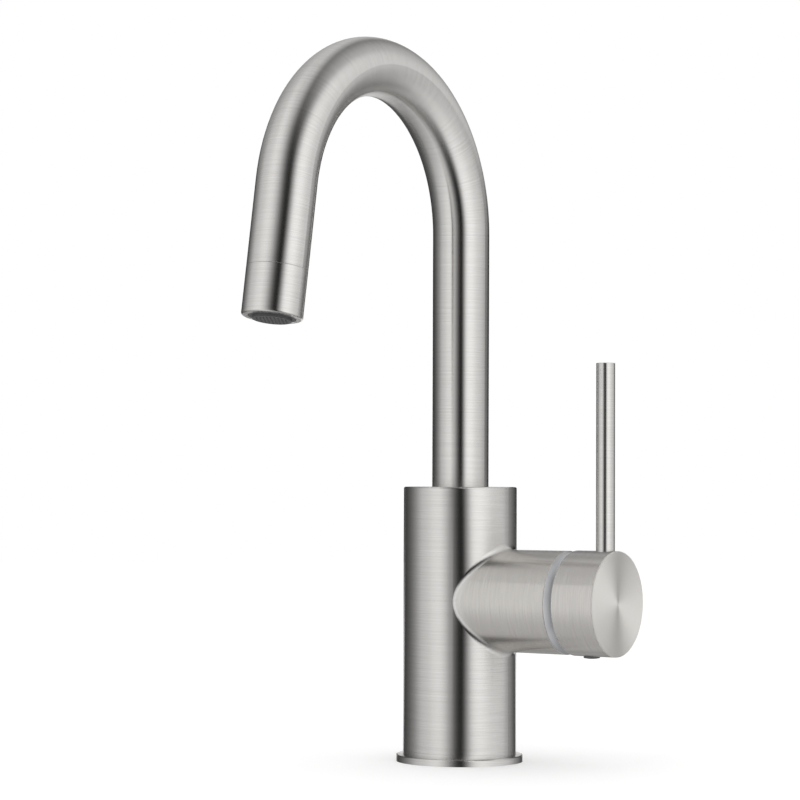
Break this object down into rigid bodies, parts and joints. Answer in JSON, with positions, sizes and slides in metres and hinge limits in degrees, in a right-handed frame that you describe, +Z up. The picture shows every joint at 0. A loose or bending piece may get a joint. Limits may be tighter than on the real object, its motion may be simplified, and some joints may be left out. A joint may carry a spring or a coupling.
{
  "type": "gooseneck bar faucet",
  "caption": "Single-hole bar faucet in brushed steel: round column, swivelling gooseneck spout with aerator, side barrel with a capped rod lever over a ceramic cartridge.",
  "frame": {"origin": "centre of the base on the deck, at the mouth of the central stud thread", "axes": "+Z up along the column and the spout's swivel axis, -Y from the column to the spout's outlet, +X along the side barrel to the handle"},
  "size_m": [0.1076, 0.1806, 0.3106],
  "materials": {
    "brushed_steel": "brushed stainless steel",
    "brass_raw": "machined brass",
    "rubber_black": "moulded rubber",
    "acetal_white": "moulded acetal",
    "acetal_grey": "moulded acetal",
    "cartridge_plastic": "moulded glass-filled plastic",
    "ceramic": "lapped ceramic",
    "spring_steel": "spring steel"
  },
  "bodies": {
    "base": {"valve_body": "brushed_steel", "base_ring": "brushed_steel", "base_gasket": "rubber_black", "thrust_washer": "acetal_white", "glide_ring": "acetal_white", "snap_clip": "spring_steel", "cartridge_base": "cartridge_plastic", "port_seals": "rubber_black", "fixed_disc": "ceramic", "cartridge_housing": "cartridge_plastic", "retaining_nut": "brass_raw", "bonnet": "brushed_steel"},
    "spout": {"spout_tube": "brushed_steel", "swivel_shank": "brass_raw", "swivel_seals": "rubber_black", "outlet_sleeve": "brushed_steel", "aerator_cage": "acetal_grey", "aerator_grid": "acetal_grey", "aerator_screen": "spring_steel", "aerator_washer": "rubber_black"},
    "turner": {"rotor": "acetal_white", "stem_pin": "spring_steel"},
    "lever": {"stem": "brass_raw", "handle_cap": "brushed_steel", "lever_rod": "brushed_steel", "set_screw": "spring_steel", "access_plug": "acetal_grey"},
    "disc": {"disc_driver": "acetal_white", "moving_disc": "ceramic"}
  },
  "joints": [
    {"name": "spout_swivel", "type": "hinge", "parent": "base", "child": "spout", "pos_m": [0, 0, 0.1207], "axis": [0, 0, 1], "continuous": true},
    {"name": "lever_turn", "type": "hinge", "parent": "base", "child": "turner", "pos_m": [0.05, 0, 0.071], "axis": [1, 0, 0], "range_deg": [-50, 50]},
    {"name": "lever_tilt", "type": "hinge", "parent": "turner", "child": "lever", "pos_m": [0.05, 0, 0.071], "axis": [0, 1, 0], "range_deg": [0, 22]},
    {"name": "disc_slide", "type": "slide", "parent": "turner", "child": "disc", "axis": [0, 0, 1], "range_m": [0, 0.00526]}
  ],
  "couplings": [
    {"joint": "disc_slide", "follows": "lever_tilt", "m_per_rad": 0.013659}
  ]
}
